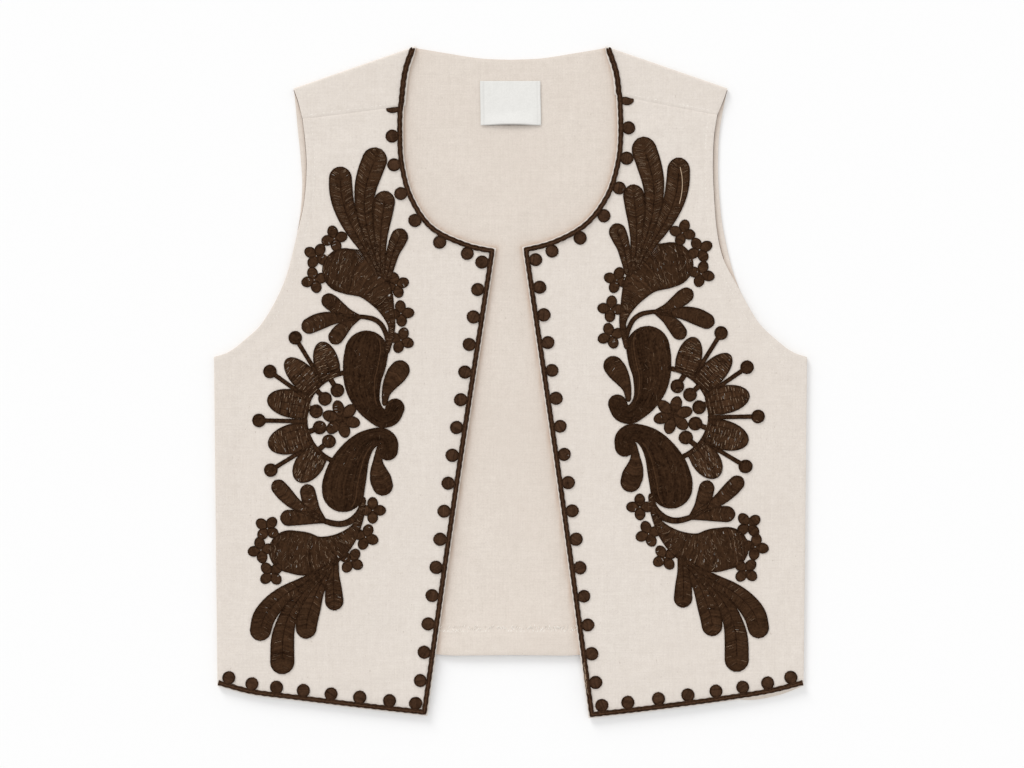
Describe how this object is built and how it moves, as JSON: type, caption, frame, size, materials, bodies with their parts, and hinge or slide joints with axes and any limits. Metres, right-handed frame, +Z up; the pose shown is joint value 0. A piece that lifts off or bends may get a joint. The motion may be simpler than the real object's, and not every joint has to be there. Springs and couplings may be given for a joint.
{
  "type": "embroidered waistcoat",
  "caption": "Sleeveless open-front cropped waistcoat of linen, laid flat, with corded dotted edges and a mirrored flower and paisley spray on each front.",
  "frame": {"origin": "centre of the bounding box at its bottom, on the surface the garment lies on", "axes": "+Z up off the surface, +Y towards the neck, +X towards the wearer's left front"},
  "size_m": [0.48, 0.5444, 0.0065],
  "materials": {
    "linen": "matte oatmeal linen, outside",
    "linen_inside": "matte oatmeal linen, inside, slightly pinker",
    "embroidery_thread": "dark brown satin stitch with a soft sheen",
    "cord_thread": "dark brown double corded stitch with satin dots",
    "woven_label": "bare white woven label"
  },
  "bodies": {
    "root": {"back": "linen_inside", "front_left": "linen", "front_right": "linen", "cord_left": "cord_thread", "cord_right": "cord_thread", "embroidery_left": "embroidery_thread", "embroidery_right": "embroidery_thread", "neck_label": "woven_label"}
  },
  "joints": []
}
